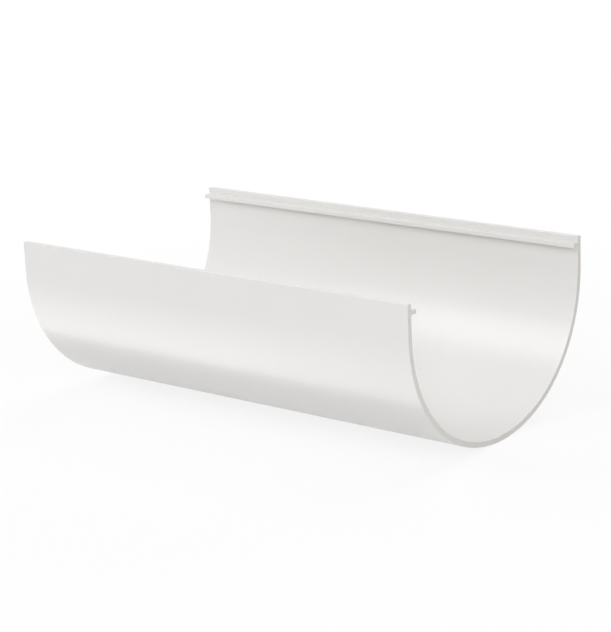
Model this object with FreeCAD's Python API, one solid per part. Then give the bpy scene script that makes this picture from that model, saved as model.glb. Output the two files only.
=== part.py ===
import FreeCAD, Part
import math
import os

# Half-round rain gutter: one sawn length of extruded PVC-U, open at both ends.
# Millimetres, +Z up. X runs along the gutter and Y across it. The origin lies under
# the middle of the length, at the lowest point of the round bottom.
#
# The section is a U of even thickness. Its bowl is a basket-handle curve: a side arc
# on each flank and one flatter arc along the bottom, all meeting at a tangent. Above
# the bowl each wall stands upright to a square rim, and a small level rib runs along
# its inside face, just under the rim, for the bracket's clip and the joint's seal.

cut_length = 202.0        # from one sawn end to the other
outer_width = 125.0       # over the outsides of the two upright walls
wall = 2.3                # thickness of the shell, the same all round
upright_height = 13.0     # straight part of each wall, from the bowl up to the rim
bowl_depth = 59.0         # outside, from the top of the bowl to its lowest point
side_arc_turn = 65.0      # degrees that each side arc turns before the bottom arc starts

rib_drop = 2.7            # from the rim down to the top of the rib
rib_thickness = 1.85
rib_reach = 3.1           # how far the rib stands in from the wall

rim_edge_radius = 0.2     # the rim's long edges, inside and outside
rib_edge_radius = 0.15    # the two long edges at the rib's tip
rib_root_radius = 0.2     # the fillets where the rib meets the wall

match = 1e-4              # how closely an edge has to lie on the place it is picked by

half_length = cut_length / 2
half_width = outer_width / 2
bowl_top = bowl_depth
rim_height = bowl_top + upright_height
inner_face = half_width - wall
rib_top = rim_height - rib_drop
rib_bottom = rib_top - rib_thickness
rib_tip = inner_face - rib_reach

# The three arcs are tangent when both radii differ from the half width and from the
# depth by the two legs of one triangle, whose long side is bottom_radius - side_radius.
turn_cos = math.cos(math.radians(side_arc_turn))
turn_sin = math.sin(math.radians(side_arc_turn))
radius_step = (half_width - bowl_depth) / (turn_sin + turn_cos - 1)
side_radius = half_width - radius_step * turn_cos
bottom_radius = bowl_depth + radius_step * turn_sin
side_centre_y = half_width - side_radius


def point(y, z):
    """A point of the section, in the plane of the first sawn end."""
    return FreeCAD.Vector(-half_length, y, z)


def arc_point(centre_y, centre_z, radius, turn, side):
    """A point on an arc, turn degrees below level; side is -1 or 1."""
    angle = math.radians(turn)
    return point(side * (centre_y + radius * math.cos(angle)), centre_z - radius * math.sin(angle))


def upright(depth_in, side):
    """The straight part of one wall's face, depth_in inside the outer face."""
    y = side * (half_width - depth_in)
    return Part.LineSegment(point(y, bowl_top), point(y, rim_height)).toShape()


def side_arc(depth_in, side):
    """One flank of the bowl, depth_in inside the outer face."""
    radius = side_radius - depth_in
    turns = (0, side_arc_turn / 2, side_arc_turn)
    start, middle, end = [arc_point(side_centre_y, bowl_top, radius, turn, side) for turn in turns]
    return Part.Arc(start, middle, end).toShape()


def bottom_arc(depth_in):
    """The flatter arc along the bottom, from one side arc to the other."""
    radius = bottom_radius - depth_in
    start = arc_point(0, bottom_radius, radius, side_arc_turn, -1)
    end = arc_point(0, bottom_radius, radius, side_arc_turn, 1)
    return Part.Arc(start, point(0, depth_in), end).toShape()


def channel_line(depth_in):
    """The edges of the whole U from rim to rim, depth_in inside the outer face."""
    line = [bottom_arc(depth_in)]
    for side in (-1, 1):
        line += [side_arc(depth_in, side), upright(depth_in, side)]
    return line


def rim_line(side):
    """The level top of one wall."""
    inside, outside = point(side * inner_face, rim_height), point(side * half_width, rim_height)
    return Part.LineSegment(inside, outside).toShape()


def shell():
    """The plain U, extruded from one sawn end to the other."""
    outline = channel_line(0) + channel_line(wall) + [rim_line(-1), rim_line(1)]
    section = Part.Face(Part.Wire(Part.__sortEdges__(outline)))
    return section.extrude(FreeCAD.Vector(cut_length, 0, 0))


def rib(side):
    """One rib, rooted half way into the wall so that the two fuse."""
    root = inner_face + wall / 2
    low_y = rib_tip if side > 0 else -root
    return Part.makeBox(cut_length, root - rib_tip, rib_thickness, point(low_y, rib_bottom))


def rounded(solid, radius, corners):
    """The solid with a fillet along the long edges at these (distance from the middle, height) places."""
    picked = []
    for edge in solid.Edges:
        first, last = edge.Vertexes[0].Point, edge.Vertexes[-1].Point
        runs_along = abs(abs(first.x - last.x) - cut_length) < match
        at_corner = any(math.hypot(abs(first.y) - y, first.z - z) < match for y, z in corners)
        if runs_along and at_corner:
            picked.append(edge)
    return solid.makeFillet(radius, picked)


def gutter_profile():
    """The finished length: the shell, its two ribs and its softened edges, as one solid."""
    solid = shell().fuse([rib(-1), rib(1)]).removeSplitter()
    solid = rounded(solid, rib_root_radius, [(inner_face, rib_top), (inner_face, rib_bottom)])
    solid = rounded(solid, rib_edge_radius, [(rib_tip, rib_top), (rib_tip, rib_bottom)])
    solid = rounded(solid, rim_edge_radius, [(inner_face, rim_height), (half_width, rim_height)])
    return solid.Solids[0]


os.makedirs("parts", exist_ok=True)
gutter = gutter_profile()
gutter.exportStep("parts/gutter_profile.step")
print("gutter_profile", round(gutter.Volume), "mm3, side radius", round(side_radius, 2),
      "mm, bottom radius", round(bottom_radius, 2), "mm")
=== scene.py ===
import bmesh
import bpy
import math
from mathutils import Matrix, Vector


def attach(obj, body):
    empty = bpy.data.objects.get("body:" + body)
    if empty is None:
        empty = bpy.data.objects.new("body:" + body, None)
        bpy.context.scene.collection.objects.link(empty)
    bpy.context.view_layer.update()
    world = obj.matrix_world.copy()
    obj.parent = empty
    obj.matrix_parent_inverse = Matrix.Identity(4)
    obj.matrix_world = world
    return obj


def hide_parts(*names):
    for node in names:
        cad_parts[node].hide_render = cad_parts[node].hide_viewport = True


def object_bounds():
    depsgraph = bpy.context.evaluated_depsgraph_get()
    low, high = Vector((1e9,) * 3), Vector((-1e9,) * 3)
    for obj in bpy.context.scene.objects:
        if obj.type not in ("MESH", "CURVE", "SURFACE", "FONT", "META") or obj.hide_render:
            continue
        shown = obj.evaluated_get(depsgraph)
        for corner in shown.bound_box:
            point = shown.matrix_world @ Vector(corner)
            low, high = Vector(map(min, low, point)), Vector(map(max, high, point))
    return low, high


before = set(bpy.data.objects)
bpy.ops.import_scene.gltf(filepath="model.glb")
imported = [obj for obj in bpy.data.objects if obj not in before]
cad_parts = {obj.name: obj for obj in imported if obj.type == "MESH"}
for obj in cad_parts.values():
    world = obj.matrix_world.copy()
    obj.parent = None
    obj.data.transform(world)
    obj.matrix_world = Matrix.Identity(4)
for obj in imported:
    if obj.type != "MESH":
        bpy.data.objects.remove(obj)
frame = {"nodes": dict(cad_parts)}
cadLow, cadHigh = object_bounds()
print("frame loaded:", ", ".join(frame["nodes"]))

camera = {
    "azimuth": 38.58,      # degrees round from straight in front
    "elevation": 15.76,    # degrees above level
    "roll": -2.31,         # degrees that the view leans
    "place": (0.53208, -0.66388, 0.27794),
    "lens": 117.64,        # mm
    "sensor": 36,          # mm, along the longer side of the view
    "nearest": 0.01,       # nothing nearer or farther than these two is drawn
    "farthest": 50,
}


def addCamera(spec):
    turn, lift, roll = (math.radians(spec[key]) for key in ("azimuth", "elevation", "roll"))
    data = bpy.data.cameras.new("studioCamera")
    data.lens = spec["lens"]
    data.sensor_width = spec["sensor"]
    data.clip_start = spec["nearest"]
    data.clip_end = spec["farthest"]
    view = bpy.data.objects.new("studioCamera", data)
    bpy.context.scene.collection.objects.link(view)
    level = Matrix.Rotation(turn, 4, "Z") @ Matrix.Rotation(math.pi / 2 - lift, 4, "X")
    view.matrix_world = Matrix.Translation(spec["place"]) @ level @ Matrix.Rotation(roll, 4, "Z")
    bpy.context.scene.camera = view


addCamera(camera)
print("camera placed")

# one extruded length: its outer line is drawn, swept along, thickened and given its ribs
gutter = {
    "wall": 0.0023,             # thickness of the shell
    "upright": 0.013,           # straight part of each wall, above the bowl
    "sideTurn": 65,             # degrees in each side arc of the bowl
    "ribDrop": 0.0027,          # from the rim down to the rib
    "ribThickness": 0.00185,
    "ribReach": 0.0031,         # how far the rib stands in from the wall
    "rimEdge": 0.0002,          # radius of the rim's long edges
    "ribEdge": 0.00015,         # and of the rib's two, at its tip
    "ribRoot": 0.0002,          # fillets where the rib leaves the wall
    "sawnEdge": 0.00004,        # the sharp edge left by the saw, round both ends
    "sideSteps": 40,            # faces round each side arc
    "bottomSteps": 32,          # and round the bottom arc between them
    "edgeSteps": 4,             # and across each rounded long edge
    "sawnEdgeSteps": 2,
    "wideFaceWeight": 100,      # above 50, wide faces set more of the shading along their edges
}

pickedWithin = 0.00002      # how near an edge or face lies to the place that it is picked by
sawnFacing = 0.99           # how straight along the gutter a sawn end looks, 1 being quite straight


def walkStraight(bm, vert, heights):
    # carries one end of the line straight down or up to each height in turn
    for height in heights:
        step = bmesh.ops.extrude_vert_indiv(bm, verts=[vert])
        vert = step["verts"][0]
        vert.co.z = height
    return vert


def walkRound(bm, vert, centreY, centreZ, turn, steps):
    # carries it on along an arc about a centre in the section
    arc = bmesh.ops.spin(bm, geom=[vert], cent=(vert.co.x, centreY, centreZ), axis=(1, 0, 0),
                         angle=turn, steps=steps)
    return [item for item in arc["geom_last"] if isinstance(item, bmesh.types.BMVert)][0]


def drawOuterLine(bm, spec, halfWidth, rim, ribTop, ribBottom):
    # the outside of the section, from the front rim down, round the bowl and up to the back rim
    bowlTop = rim - spec["upright"]
    sideTurn = math.radians(spec["sideTurn"])
    depth = bowlTop - cadLow.z
    # the arcs meet at a tangent where the bottom one's centre lies this far from each side one's
    radiusStep = (halfWidth - depth) / (math.sin(sideTurn) + math.cos(sideTurn) - 1)
    sideCentre = radiusStep * math.cos(sideTurn)
    bottomCentre = bowlTop + radiusStep * math.sin(sideTurn)
    end = bm.verts.new((cadLow.x, -halfWidth, rim))
    end = walkStraight(bm, end, (ribTop, ribBottom, bowlTop))
    end = walkRound(bm, end, -sideCentre, bowlTop, sideTurn, spec["sideSteps"])
    end = walkRound(bm, end, 0, bottomCentre, math.pi - 2 * sideTurn, spec["bottomSteps"])
    end = walkRound(bm, end, sideCentre, bowlTop, sideTurn, spec["sideSteps"])
    walkStraight(bm, end, (ribBottom, ribTop, rim))


def sweepAlong(bm, length):
    # draws the line out into a sheet whose faces look out of the gutter
    sheet = bmesh.ops.extrude_edge_only(bm, edges=bm.edges[:])
    moved = [item for item in sheet["geom"] if isinstance(item, bmesh.types.BMVert)]
    bmesh.ops.translate(bm, verts=moved, vec=(length, 0, 0))
    bm.normal_update()
    lowest = min(bm.faces, key=lambda face: face.calc_center_median().z)
    if lowest.normal.z > 0:
        bmesh.ops.reverse_faces(bm, faces=bm.faces[:])


def growRib(bm, side, inner, ribTop, ribBottom, reach):
    # pulls the narrow band of the inner face between these heights inwards
    root = [face for face in bm.faces
            if abs(face.calc_center_median().y - side * inner) < pickedWithin
            and ribBottom < face.calc_center_median().z < ribTop]
    rib = bmesh.ops.extrude_face_region(bm, geom=root)
    bmesh.ops.delete(bm, geom=root, context="FACES_ONLY")
    tip = [item for item in rib["geom"] if isinstance(item, bmesh.types.BMVert)]
    bmesh.ops.translate(bm, verts=tip, vec=(0, -side * reach, 0))


def longEdges(bm, places):
    # the edges along the gutter that pass through these (distance from the middle, height) places
    found = []
    for edge in bm.edges:
        a, b = edge.verts[0].co, edge.verts[1].co
        if abs(a.x - b.x) < pickedWithin:
            continue
        if any(math.hypot(abs(a.y) - y, a.z - z) < pickedWithin for y, z in places):
            found.append(edge)
    return found


def isSawn(face):
    return abs(face.normal.x) > sawnFacing


def roundOff(bm, edges, radius, steps):
    bmesh.ops.bevel(bm, geom=edges, offset=radius, offset_type="OFFSET", affect="EDGES",
                    segments=steps, profile=0.5, material=-1, clamp_overlap=True)


def buildGutter(spec):
    bm = bmesh.new()
    halfWidth, rim = cadHigh.y, cadHigh.z
    inner = halfWidth - spec["wall"]
    ribTop = rim - spec["ribDrop"]
    ribBottom = ribTop - spec["ribThickness"]
    ribTip = inner - spec["ribReach"]
    drawOuterLine(bm, spec, halfWidth, rim, ribTop, ribBottom)
    sweepAlong(bm, cadHigh.x - cadLow.x)
    bmesh.ops.solidify(bm, geom=bm.faces[:], thickness=spec["wall"])
    bm.normal_update()
    for side in (-1, 1):
        growRib(bm, side, inner, ribTop, ribBottom, spec["ribReach"])
    steps = spec["edgeSteps"]
    roundOff(bm, longEdges(bm, [(ribTip, ribTop), (ribTip, ribBottom)]), spec["ribEdge"], steps)
    roundOff(bm, longEdges(bm, [(inner, ribTop), (inner, ribBottom)]), spec["ribRoot"], steps)
    roundOff(bm, longEdges(bm, [(halfWidth, rim), (inner, rim)]), spec["rimEdge"], steps)
    bmesh.ops.recalc_face_normals(bm, faces=bm.faces[:])
    sawnOutline = [edge for edge in bm.edges
                   if sorted(isSawn(face) for face in edge.link_faces) == [False, True]]
    roundOff(bm, sawnOutline, spec["sawnEdge"], spec["sawnEdgeSteps"])
    bmesh.ops.recalc_face_normals(bm, faces=bm.faces[:])
    for face in bm.faces:
        face.smooth = True
        face.material_index = int(isSawn(face))     # 0 is the die's skin and 1 the sawn ends, whose colour is darkened as painted shade
    mesh = bpy.data.meshes.new("gutterLength")
    bm.to_mesh(mesh)
    bm.free()
    piece = bpy.data.objects.new("gutterLength", mesh)
    bpy.context.scene.collection.objects.link(piece)
    evenShading = piece.modifiers.new("evenShading", "WEIGHTED_NORMAL")
    evenShading.weight = spec["wideFaceWeight"]
    return piece


gutterPiece = buildGutter(gutter)
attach(gutterPiece, "root")
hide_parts("gutter_profile")
print("gutter built:", len(gutterPiece.data.polygons), "faces")

refractionOfPvc = 1.54      # the index, which sets how much a smooth surface mirrors

# off-white PVC, with the skin that the die gives it
dieSkin = {
    "colour": (0.752, 0.741, 0.727, 1),
    "roughness": 0.285,
    "lineWidth": 0.0016,        # across one faint die line, which runs along the gutter
    "lineLength": 0.3,          # and along it
    "lineDepth": 0.0000022,
    "lineDullness": 0.03,       # how much rougher the dullest lines are
    "lineDetail": 2,            # how many times finer lines are added
    "waveSize": 0.004,          # the slight waviness of a skin that cooled in the air
    "waveDepth": 0.0000025,
    "cloudSize": 0.045,         # clouds of slightly lighter and darker resin
    "cloudTone": 0.02,
}

# the same PVC where the saw went through it, rougher, and with its colour darkened as painted shade on the
# end faces
sawnEndAndPaintedShade = {
    # a little darker than the skin's colour: painted shade on the sawn ends
    "colour": (0.664, 0.646, 0.620, 1),
    "roughness": 0.52,
    "bladeCentre": (0, 0.11, -0.09),    # where the blade's axle was, seen along the gutter
    "markPitch": 0.0007,        # from one saw mark to the next
    "markDepth": 0.000002,
    "markDullness": 0.06,
    "markWander": 1.5,          # how far the marks stray from even rings
    "markDetail": 2,
    "waveSize": 0.0004,         # torn grain between the saw marks
    "waveDepth": 0.0000015,
    "cloudSize": 0.006,
    "cloudTone": 0.04,
}

cloudDetail = 3                 # how many times the clouds have finer ones added
waveDetail = 1                  # and the waves
patternMiddle = 0.5             # noise runs as far above this as below it
patternSpread = (0.3, 0.7)      # nearly all of a pattern lies between these
ringPitch = math.pi / 10        # metres from ring to ring of a wave texture at a scale of 1


def newNode(tree, kind, inputs, **settings):
    # each input gets a plain value, or a link from the socket given
    made = tree.nodes.new(kind)
    for name, value in settings.items():
        setattr(made, name, value)
    for name, value in inputs.items():
        if isinstance(value, bpy.types.NodeSocket):
            tree.links.new(value, made.inputs[name])
        else:
            made.inputs[name].default_value = value
    return made


def newGroup(name, inputs, output):
    group = bpy.data.node_groups.new(name, "ShaderNodeTree")
    for socketName, kind in inputs.items():
        group.interface.new_socket(socketName, in_out="INPUT", socket_type=kind)
    group.interface.new_socket(output[0], in_out="OUTPUT", socket_type=output[1])
    return group, group.nodes.new("NodeGroupInput").outputs


def makeResinClouds():
    # the compound's colour, in soft clouds a little lighter and darker
    group, given = newGroup("resinClouds",
                            {"Vector": "NodeSocketVector", "Colour": "NodeSocketColor",
                             "Cloud Size": "NodeSocketFloat", "Cloud Tone": "NodeSocketFloat"},
                            ("Colour", "NodeSocketColor"))
    scale = newNode(group, "ShaderNodeMath", {0: 1, 1: given["Cloud Size"]}, operation="DIVIDE")
    clouds = newNode(group, "ShaderNodeTexNoise",
                     {"Vector": given["Vector"], "Scale": scale.outputs[0], "Detail": cloudDetail})
    centred = newNode(group, "ShaderNodeMath", {0: clouds.outputs["Fac"], 1: patternMiddle},
                      operation="SUBTRACT")
    tone = newNode(group, "ShaderNodeMath", {0: centred.outputs[0], 1: given["Cloud Tone"], 2: 1},
                   operation="MULTIPLY_ADD")
    shaded = newNode(group, "ShaderNodeVectorMath", {0: given["Colour"], "Scale": tone.outputs[0]},
                     operation="SCALE")
    newNode(group, "NodeGroupOutput", {"Colour": shaded.outputs[0]})
    return group


def makeWavySkin():
    # height in metres of small even waves
    group, given = newGroup("wavySkin",
                            {"Vector": "NodeSocketVector", "Wave Size": "NodeSocketFloat",
                             "Wave Depth": "NodeSocketFloat"},
                            ("Height", "NodeSocketFloat"))
    scale = newNode(group, "ShaderNodeMath", {0: 1, 1: given["Wave Size"]}, operation="DIVIDE")
    waves = newNode(group, "ShaderNodeTexNoise",
                    {"Vector": given["Vector"], "Scale": scale.outputs[0], "Detail": waveDetail})
    height = newNode(group, "ShaderNodeMath", {0: waves.outputs["Fac"], 1: given["Wave Depth"]},
                     operation="MULTIPLY")
    newNode(group, "NodeGroupOutput", {"Height": height.outputs[0]})
    return group


resinClouds = makeResinClouds()
wavySkin = makeWavySkin()


def startPvc(name, spec):
    # what both finishes share: the resin's colour and the small waves of the surface
    material = bpy.data.materials.new(name)
    material.use_nodes = True
    tree = material.node_tree
    surface = tree.nodes["Principled BSDF"]
    surface.inputs["IOR"].default_value = refractionOfPvc
    place = newNode(tree, "ShaderNodeTexCoord", {}).outputs["Object"]
    clouds = newNode(tree, "ShaderNodeGroup",
                     {"Vector": place, "Colour": spec["colour"],
                      "Cloud Size": spec["cloudSize"], "Cloud Tone": spec["cloudTone"]},
                     node_tree=resinClouds)
    waves = newNode(tree, "ShaderNodeGroup",
                    {"Vector": place, "Wave Size": spec["waveSize"], "Wave Depth": spec["waveDepth"]},
                    node_tree=wavySkin)
    tree.links.new(clouds.outputs["Colour"], surface.inputs["Base Color"])
    return material, tree, surface, place, waves.outputs["Height"]


def finishPvc(tree, surface, waveHeight, marks, depth, roughness, dullness):
    # adds the marks, a pattern from 0 to 1, to the roughness and to the relief, which is in metres
    gloss = newNode(tree, "ShaderNodeMapRange",
                    {"Value": marks, "From Min": patternSpread[0], "From Max": patternSpread[1],
                     "To Min": roughness, "To Max": roughness + dullness})
    relief = newNode(tree, "ShaderNodeMath", {0: marks, 1: depth, 2: waveHeight}, operation="MULTIPLY_ADD")
    bump = newNode(tree, "ShaderNodeBump", {"Height": relief.outputs[0], "Distance": 1, "Strength": 1})
    tree.links.new(gloss.outputs[0], surface.inputs["Roughness"])
    tree.links.new(bump.outputs["Normal"], surface.inputs["Normal"])


def makeOffWhitePvc(spec):
    material, tree, surface, place, waveHeight = startPvc("offWhitePvc", spec)
    # the mapping gives the noise its size, much longer along the gutter than across it
    across = 1 / spec["lineWidth"]
    stretched = newNode(tree, "ShaderNodeMapping",
                        {"Vector": place, "Scale": (1 / spec["lineLength"], across, across)})
    dieLines = newNode(tree, "ShaderNodeTexNoise",
                       {"Vector": stretched.outputs["Vector"], "Scale": 1,
                        "Detail": spec["lineDetail"]})
    finishPvc(tree, surface, waveHeight, dieLines.outputs["Fac"],
              spec["lineDepth"], spec["roughness"], spec["lineDullness"])
    return material


def makeSawnPvcWithPaintedShade(spec):
    material, tree, surface, place, waveHeight = startPvc("sawnPvcWithPaintedShade", spec)
    fromBlade = newNode(tree, "ShaderNodeMapping",
                        {"Vector": place, "Location": [-middle for middle in spec["bladeCentre"]]})
    sawMarks = newNode(tree, "ShaderNodeTexWave",
                       {"Vector": fromBlade.outputs["Vector"], "Scale": ringPitch / spec["markPitch"],
                        "Distortion": spec["markWander"], "Detail": spec["markDetail"]},
                       wave_type="RINGS", rings_direction="X")
    finishPvc(tree, surface, waveHeight, sawMarks.outputs["Fac"],
              spec["markDepth"], spec["roughness"], spec["markDullness"])
    return material


gutterPiece.data.materials.append(makeOffWhitePvc(dieSkin))
gutterPiece.data.materials.append(makeSawnPvcWithPaintedShade(sawnEndAndPaintedShade))
print("PVC finished:", ", ".join(material.name for material in gutterPiece.data.materials))

studio = {
    "white": (1, 1, 1, 1),      # the backdrop, and the floor beyond the gutter's shadow
    "floorHalfWidth": 6,
    "floorColour": (0.9, 0.9, 0.9, 1),
    "whiteShare": 0.85,         # of plain white in the floor near the gutter; the rest takes its shadow
    "shadowReach": (0.14, 0.36),    # between these distances the share grows to all
    "roomLight": 0.2,           # strength of the even light from all round
    "aim": (0, 0, 0.036),       # what the softboxes face
    "distance": 1.2,            # and how far from it they stand
    "spread": 180,              # degrees that a light shines over, where its own line gives none
}

# angles are as the camera's, and brightness is against the white backdrop, which is 1
softboxes = {
    "keySoftbox": {"azimuth": -42, "elevation": 43, "width": 0.45, "height": 0.6, "brightness": 3.9},
    "leftStrip": {"azimuth": -75, "elevation": 10, "width": 0.5, "height": 0.35, "brightness": 12.5,
                  "glossy": False},     # unseen in the gloss, where it would burn out
    "rightSoftbox": {"azimuth": 52, "elevation": 26, "width": 0.9, "height": 0.6, "brightness": 3.9},
    "backSoftbox": {"azimuth": 180, "elevation": 62, "width": 1.1, "height": 0.5, "brightness": 1.9},
    "backFill": {"azimuth": 180, "elevation": 18, "width": 0.9, "height": 0.5, "brightness": 2.0},
    "topSoftbox": {"azimuth": 0, "elevation": 88, "width": 0.7, "height": 0.7, "brightness": 1.5},
}

# lies on the floor in front, and only shows as a soft band low on the bowl
floorStrip = {
    "middle": (-0.02, -0.1135, 0.001), "width": 0.39, "height": 0.107, "brightness": 1.85,
    "diffuse": False,           # it lights nothing, and is only mirrored
    "spread": 140,              # so that a flank seen almost end-on doesn't mirror it
    "evenPart": 0.5,            # of its width, from the left; then it fades
    "rightShare": 0.35,         # to this share of its brightness
}


def whiteRays(tree):
    # 1 for the rays that show the white background: seen straight, mirrored or through glass
    path = newNode(tree, "ShaderNodeLightPath", {}).outputs
    seen = newNode(tree, "ShaderNodeMath", {0: path["Is Camera Ray"], 1: path["Is Glossy Ray"]},
                   operation="MAXIMUM")
    return newNode(tree, "ShaderNodeMath", {0: seen.outputs[0], 1: path["Is Transmission Ray"]},
                   operation="MAXIMUM").outputs[0]


def addFloor(spec):
    # shows as white, and near the gutter in part as pale paint, which takes its shadow
    bm = bmesh.new()
    bmesh.ops.create_grid(bm, x_segments=1, y_segments=1, size=spec["floorHalfWidth"])
    mesh = bpy.data.meshes.new("floor")
    bm.to_mesh(mesh)
    bm.free()
    floor = bpy.data.objects.new("floor", mesh)
    bpy.context.scene.collection.objects.link(floor)
    material = bpy.data.materials.new("paleFloor")
    material.use_nodes = True
    tree = material.node_tree
    tree.nodes.clear()
    place = newNode(tree, "ShaderNodeTexCoord", {}).outputs["Object"]
    away = newNode(tree, "ShaderNodeVectorMath", {0: place}, operation="LENGTH")
    glow = newNode(tree, "ShaderNodeMapRange",
                   {"Value": away.outputs["Value"], "From Min": spec["shadowReach"][0],
                    "From Max": spec["shadowReach"][1], "To Min": spec["whiteShare"], "To Max": 1},
                   interpolation_type="SMOOTHSTEP")
    share = newNode(tree, "ShaderNodeMath", {0: whiteRays(tree), 1: glow.outputs[0]}, operation="MULTIPLY")
    paint = newNode(tree, "ShaderNodeBsdfDiffuse", {"Color": spec["floorColour"]})
    white = newNode(tree, "ShaderNodeEmission", {"Color": spec["white"], "Strength": 1})
    mixed = newNode(tree, "ShaderNodeMixShader",
                    {0: share.outputs[0], 1: paint.outputs[0], 2: white.outputs[0]})
    newNode(tree, "ShaderNodeOutputMaterial", {"Surface": mixed.outputs[0]})
    mesh.materials.append(material)


def addBackdrop(spec):
    # white wherever it shows, while the light that it throws on the gutter is much weaker
    world = bpy.data.worlds.new("studio")
    world.use_nodes = True
    tree = world.node_tree
    tree.nodes.clear()
    room = newNode(tree, "ShaderNodeBackground", {"Color": spec["white"], "Strength": spec["roomLight"]})
    white = newNode(tree, "ShaderNodeBackground", {"Color": spec["white"], "Strength": 1})
    mixed = newNode(tree, "ShaderNodeMixShader",
                    {0: whiteRays(tree), 1: room.outputs[0], 2: white.outputs[0]})
    newNode(tree, "ShaderNodeOutputWorld", {"Surface": mixed.outputs[0]})
    bpy.context.scene.world = world


def addLight(name, spec, place, outward):
    # an even rectangle of light at a place, shining against the outward direction
    data = bpy.data.lights.new(name, "AREA")
    data.shape = "RECTANGLE"
    data.size = spec["width"]
    data.size_y = spec["height"]
    # the power at which the rectangle is as bright as asked, taken over its whole spread
    data.energy = spec["brightness"] * math.pi * spec["width"] * spec["height"]
    data.spread = math.radians(spec.get("spread", studio["spread"]))
    light = bpy.data.objects.new(name, data)
    light.matrix_world = Matrix.Translation(place) @ outward.to_track_quat("Z", "Y").to_matrix().to_4x4()
    light.visible_camera = False
    light.visible_glossy = spec.get("glossy", True)
    light.visible_diffuse = spec.get("diffuse", True)
    bpy.context.scene.collection.objects.link(light)
    return data


def fadeToRight(data, spec):
    # dims a light's right end, which the flank would mirror too brightly when seen from the left
    data.use_nodes = True
    tree = data.node_tree
    across = newNode(tree, "ShaderNodeNewGeometry", {}).outputs["Parametric"]
    # from 0 at the light's right edge to 1 at its left
    fromRight = newNode(tree, "ShaderNodeSeparateXYZ", {"Vector": across}).outputs["X"]
    strength = newNode(tree, "ShaderNodeMapRange",
                       {"Value": fromRight, "From Min": 1 - spec["evenPart"], "From Max": 0,
                        "To Min": 1, "To Max": spec["rightShare"]})
    tree.links.new(strength.outputs[0], tree.nodes["Emission"].inputs["Strength"])


def addSoftboxes(specs, aim, distance):
    for name, spec in specs.items():
        turn, lift = math.radians(spec["azimuth"]), math.radians(spec["elevation"])
        outward = Vector((math.sin(turn) * math.cos(lift), -math.cos(turn) * math.cos(lift), math.sin(lift)))
        addLight(name, spec, Vector(aim) + outward * distance, outward)


addFloor(studio)
addBackdrop(studio)
addSoftboxes(softboxes, studio["aim"], studio["distance"])
stripLight = addLight("floorStrip", floorStrip, floorStrip["middle"], Vector((0, 0, -1)))
fadeToRight(stripLight, floorStrip)
bpy.context.scene.view_settings.view_transform = "Standard"
print("studio lit:", len(softboxes), "softboxes and a floor strip")
